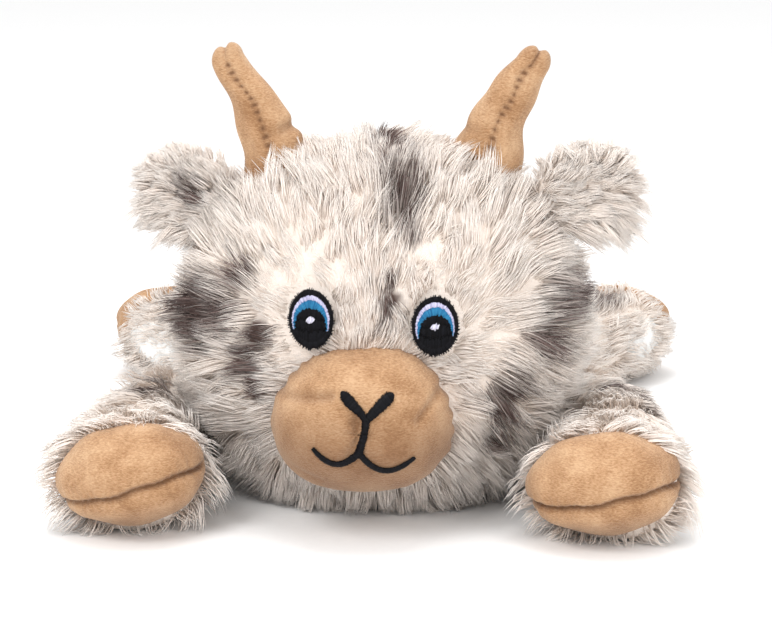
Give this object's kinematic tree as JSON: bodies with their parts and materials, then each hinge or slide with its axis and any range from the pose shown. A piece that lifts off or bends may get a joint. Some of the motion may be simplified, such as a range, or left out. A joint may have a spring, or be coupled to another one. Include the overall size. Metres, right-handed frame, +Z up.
{
  "type": "plush goat",
  "caption": "Soft plush goat lying on its belly with spread legs, long fur, embroidered face, and smooth velour horns, muzzle and hooves.",
  "frame": {"origin": "middle of the flattened belly, on the surface that the goat lies on", "axes": "+Z up, the face looks along -Y, +X is the goat's own left"},
  "size_m": [0.2639, 0.3248, 0.1774],
  "materials": {
    "fur": "long-pile cream faux fur with brown-grey patches",
    "velour": "short-pile tan velour",
    "stuffing": "white polyester fibre fill",
    "thread_black": "black satin-stitch embroidery thread",
    "thread_blue": "blue satin-stitch embroidery thread",
    "thread_white": "white satin-stitch embroidery thread"
  },
  "bodies": {
    "body": {"body_back_panel_left": "fur", "body_back_panel_right": "fur", "body_belly_panel": "fur", "body_stuffing": "stuffing", "neck_band": "fur", "neck_stuffing": "stuffing"},
    "head": {"eye_left_black_satin": "thread_black", "eye_left_glint": "thread_white", "eye_left_iris_blue": "thread_blue", "eye_left_iris_white": "thread_white", "eye_right_black_satin": "thread_black", "eye_right_glint": "thread_white", "eye_right_iris_blue": "thread_blue", "eye_right_iris_white": "thread_white", "head_chin_panel": "fur", "head_crown_gusset": "fur", "head_side_panel_left": "fur", "head_side_panel_right": "fur", "head_stuffing": "stuffing", "mouth_embroidery": "thread_black", "muzzle_cover": "velour", "muzzle_stuffing": "stuffing", "nose_embroidery": "thread_black"},
    "horn_left": {"horn_left_inner_panel": "velour", "horn_left_outer_panel": "velour", "horn_left_stuffing": "stuffing"},
    "horn_right": {"horn_right_inner_panel": "velour", "horn_right_outer_panel": "velour", "horn_right_stuffing": "stuffing"},
    "ear_left": {"ear_left_fur_panel": "fur", "ear_left_lining": "velour"},
    "ear_right": {"ear_right_fur_panel": "fur", "ear_right_lining": "velour"},
    "front_left_leg": {"front_left_hoof_lower_panel": "velour", "front_left_hoof_stuffing": "stuffing", "front_left_hoof_upper_panel": "velour", "front_left_leg_cover": "fur", "front_left_leg_stuffing": "stuffing"},
    "front_right_leg": {"front_right_hoof_lower_panel": "velour", "front_right_hoof_stuffing": "stuffing", "front_right_hoof_upper_panel": "velour", "front_right_leg_cover": "fur", "front_right_leg_stuffing": "stuffing"},
    "hind_left_leg": {"hind_left_hoof_lower_panel": "velour", "hind_left_hoof_stuffing": "stuffing", "hind_left_hoof_upper_panel": "velour", "hind_left_leg_cover": "fur", "hind_left_leg_stuffing": "stuffing"},
    "hind_right_leg": {"hind_right_hoof_lower_panel": "velour", "hind_right_hoof_stuffing": "stuffing", "hind_right_hoof_upper_panel": "velour", "hind_right_leg_cover": "fur", "hind_right_leg_stuffing": "stuffing"},
    "tail": {"tail_lower_panel": "fur", "tail_upper_panel": "fur"}
  },
  "joints": [
    {"name": "head_nod", "type": "hinge", "parent": "body", "child": "head", "pos_m": [0, -0.075, 0.052], "axis": [-1, 0, 0], "range_deg": [0, 25], "stiffness_Nm_per_rad": 0.5},
    {"name": "horn_left_sway", "type": "hinge", "parent": "head", "child": "horn_left", "pos_m": [0.042, -0.125, 0.131], "axis": [0, 1, 0], "range_deg": [-15, 15], "stiffness_Nm_per_rad": 0.05},
    {"name": "ear_left_flop", "type": "hinge", "parent": "head", "child": "ear_left", "pos_m": [0.06324, -0.125, 0.11365], "axis": [-0.5592, 0, 0.829], "range_deg": [-40, 40], "stiffness_Nm_per_rad": 0.03},
    {"name": "front_left_leg_swing", "type": "hinge", "parent": "body", "child": "front_left_leg", "pos_m": [0.04599, -0.036, 0.0205], "axis": [0, 0, 1], "range_deg": [0, 35], "stiffness_Nm_per_rad": 0.05},
    {"name": "hind_left_leg_swing", "type": "hinge", "parent": "body", "child": "hind_left_leg", "pos_m": [0.046, 0.034, 0.0205], "axis": [0, 0, -1], "range_deg": [-17, 33], "stiffness_Nm_per_rad": 0.05},
    {"name": "horn_right_sway", "type": "hinge", "parent": "head", "child": "horn_right", "pos_m": [-0.042, -0.125, 0.131], "axis": [0, -1, 0], "range_deg": [-15, 15], "stiffness_Nm_per_rad": 0.05},
    {"name": "ear_right_flop", "type": "hinge", "parent": "head", "child": "ear_right", "pos_m": [-0.06324, -0.125, 0.11365], "axis": [0.5592, 0, 0.829], "range_deg": [-40, 40], "stiffness_Nm_per_rad": 0.03},
    {"name": "front_right_leg_swing", "type": "hinge", "parent": "body", "child": "front_right_leg", "pos_m": [-0.04599, -0.036, 0.0205], "axis": [0, 0, -1], "range_deg": [-0.8, 34.2], "stiffness_Nm_per_rad": 0.05},
    {"name": "hind_right_leg_swing", "type": "hinge", "parent": "body", "child": "hind_right_leg", "pos_m": [-0.046, 0.034, 0.0205], "axis": [0, 0, 1], "range_deg": [-34, 16], "stiffness_Nm_per_rad": 0.05},
    {"name": "tail_lift", "type": "hinge", "parent": "body", "child": "tail", "pos_m": [0, 0.05389, 0.05545], "axis": [1, 0, 0], "range_deg": [-15, 40], "stiffness_Nm_per_rad": 0.02}
  ]
}
